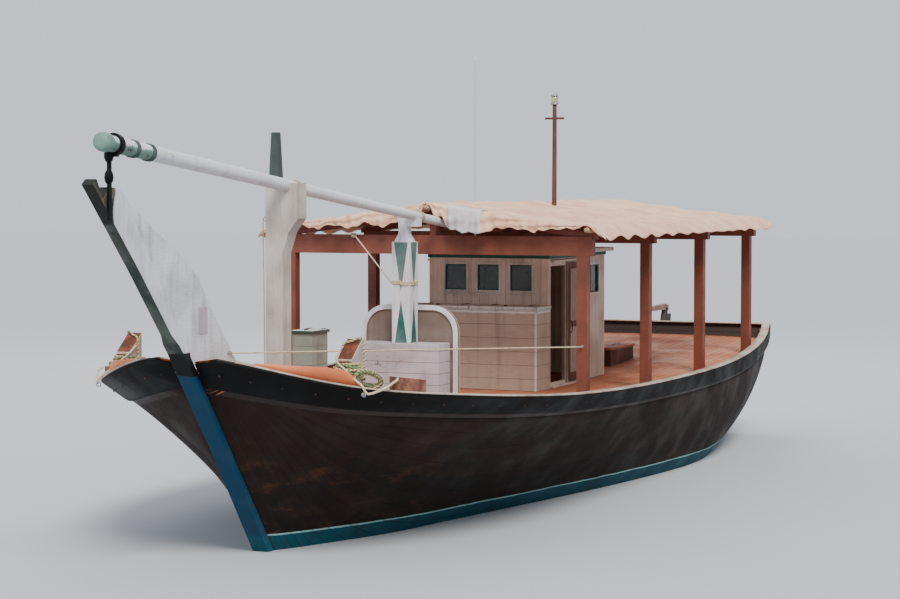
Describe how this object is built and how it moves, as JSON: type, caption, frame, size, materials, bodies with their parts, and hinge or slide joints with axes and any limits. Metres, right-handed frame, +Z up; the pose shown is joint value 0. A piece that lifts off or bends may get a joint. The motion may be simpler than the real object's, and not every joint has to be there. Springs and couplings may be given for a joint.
{
  "type": "motorised wooden fishing dhow",
  "caption": "Decked wooden dhow with raked stem and white fin, bow spar on posts, breakwater, wheelhouse under a cloth canopy, steered rudder and screw.",
  "frame": {"origin": "on the centreline at the waterline, amidships", "axes": "+X forward towards the bow, +Y to port, +Z up"},
  "size_m": [20.2559, 5.918, 8.08],
  "materials": {
    "hull_brown": "dark brown oiled and painted planking",
    "stem_blue": "blue paint on timber",
    "rail_black": "black tarred timber",
    "deck_orange": "orange brown oiled planking",
    "post_white": "weathered white paint on timber",
    "spire_dark": "dark green black paint on timber",
    "bitt_green": "white paint with dark green triangles",
    "timber_brown": "red brown oiled timber",
    "pole_tan": "bare weathered pole",
    "house_beige": "beige paint on boards",
    "cloth_pink": "faded beige pink canvas",
    "rope_beige": "beige and green fibre rope",
    "iron_dark": "rusted dark iron",
    "bronze": "cast bronze",
    "pane": "dusty dark glass"
  },
  "bodies": {
    "hull": {"hull_body": "hull_brown", "keel": "stem_blue", "stem_post": "stem_blue", "bulwark_port": "hull_brown", "bulwark_starboard": "hull_brown", "rubbing_strake_port": "rail_black", "rubbing_strake_starboard": "rail_black", "deck": "deck_orange", "transom": "hull_brown", "stem_fin": "post_white", "bow_spar": "post_white", "stem_iron": "iron_dark", "fork_post": "post_white", "fork_spire": "spire_dark", "striped_bitt": "bitt_green", "breakwater_panel": "post_white", "breakwater_box": "post_white", "timberhead_port": "timber_brown", "rope_turns_port": "rope_beige", "timberhead_starboard": "timber_brown", "rope_turns_starboard": "rope_beige", "rail_chock_port": "timber_brown", "rail_chock_starboard": "timber_brown", "chest_body": "post_white", "casing_body": "house_beige", "hatch_coaming": "timber_brown", "wheelhouse_front": "house_beige", "wheelhouse_after": "house_beige", "wheelhouse_port": "house_beige", "side_pane_port": "pane", "wheelhouse_starboard": "house_beige", "side_pane_starboard": "pane", "front_pane_1": "pane", "front_pane_2": "pane", "front_pane_3": "pane", "wheelhouse_roof": "house_beige", "helm_console": "timber_brown", "canopy_frame_1": "timber_brown", "canopy_frame_2": "timber_brown", "canopy_frame_3": "timber_brown", "canopy_frame_4": "timber_brown", "canopy_ridge": "pole_tan", "canopy_eave_port": "pole_tan", "canopy_eave_starboard": "pole_tan", "canopy_cloth": "cloth_pink", "signal_staff": "timber_brown", "whip_aerial": "post_white"},
    "steering": {"rudder": "hull_brown", "tiller": "timber_brown"},
    "helm": {"helm_wheel": "timber_brown"},
    "propeller": {"screw": "bronze"},
    "chest_cover": {"chest_lid": "bitt_green"},
    "casing_cover_port": {"casing_lid_port": "post_white"},
    "casing_cover_starboard": {"casing_lid_starboard": "post_white"},
    "hatch_cover": {"hatch_lid": "deck_orange"},
    "sliding_door_port": {"door_port": "timber_brown"},
    "sliding_door_starboard": {"door_starboard": "timber_brown"}
  },
  "joints": [
    {"name": "rudder_swing", "type": "hinge", "parent": "hull", "child": "steering", "pos_m": [-7.39676, 0, -0.44838], "axis": [-0.4472, 0, 0.8944], "range_deg": [-35, 35]},
    {"name": "helm_turn", "type": "hinge", "parent": "hull", "child": "helm", "pos_m": [-0.56, 0, 2.42], "axis": [1, 0, 0], "range_deg": [-350, 350]},
    {"name": "screw_turn", "type": "hinge", "parent": "hull", "child": "propeller", "pos_m": [-6.45, 0, -1.08], "axis": [1, 0, 0], "continuous": true},
    {"name": "chest_lid_hinge", "type": "hinge", "parent": "hull", "child": "chest_cover", "pos_m": [5.678, -0.11, 2.5603], "axis": [0, -1, 0], "range_deg": [0, 100]},
    {"name": "casing_lid_port_hinge", "type": "hinge", "parent": "hull", "child": "casing_cover_port", "pos_m": [0.33, 0.54, 2.6203], "axis": [0, -1, 0], "range_deg": [0, 80]},
    {"name": "casing_lid_starboard_hinge", "type": "hinge", "parent": "hull", "child": "casing_cover_starboard", "pos_m": [0.33, -0.54, 2.6203], "axis": [0, -1, 0], "range_deg": [0, 80]},
    {"name": "hatch_lid_hinge", "type": "hinge", "parent": "hull", "child": "hatch_cover", "pos_m": [-4.72, 0, 1.7203], "axis": [0, -1, 0], "range_deg": [0, 100]},
    {"name": "door_port_slide", "type": "slide", "parent": "hull", "child": "sliding_door_port", "axis": [1, 0, 0], "range_m": [0, 0.67]},
    {"name": "door_starboard_slide", "type": "slide", "parent": "hull", "child": "sliding_door_starboard", "axis": [1, 0, 0], "range_m": [0, 0.67]}
  ],
  "couplings": [
    {"joint": "helm_turn", "follows": "rudder_swing", "ratio": 10}
  ]
}
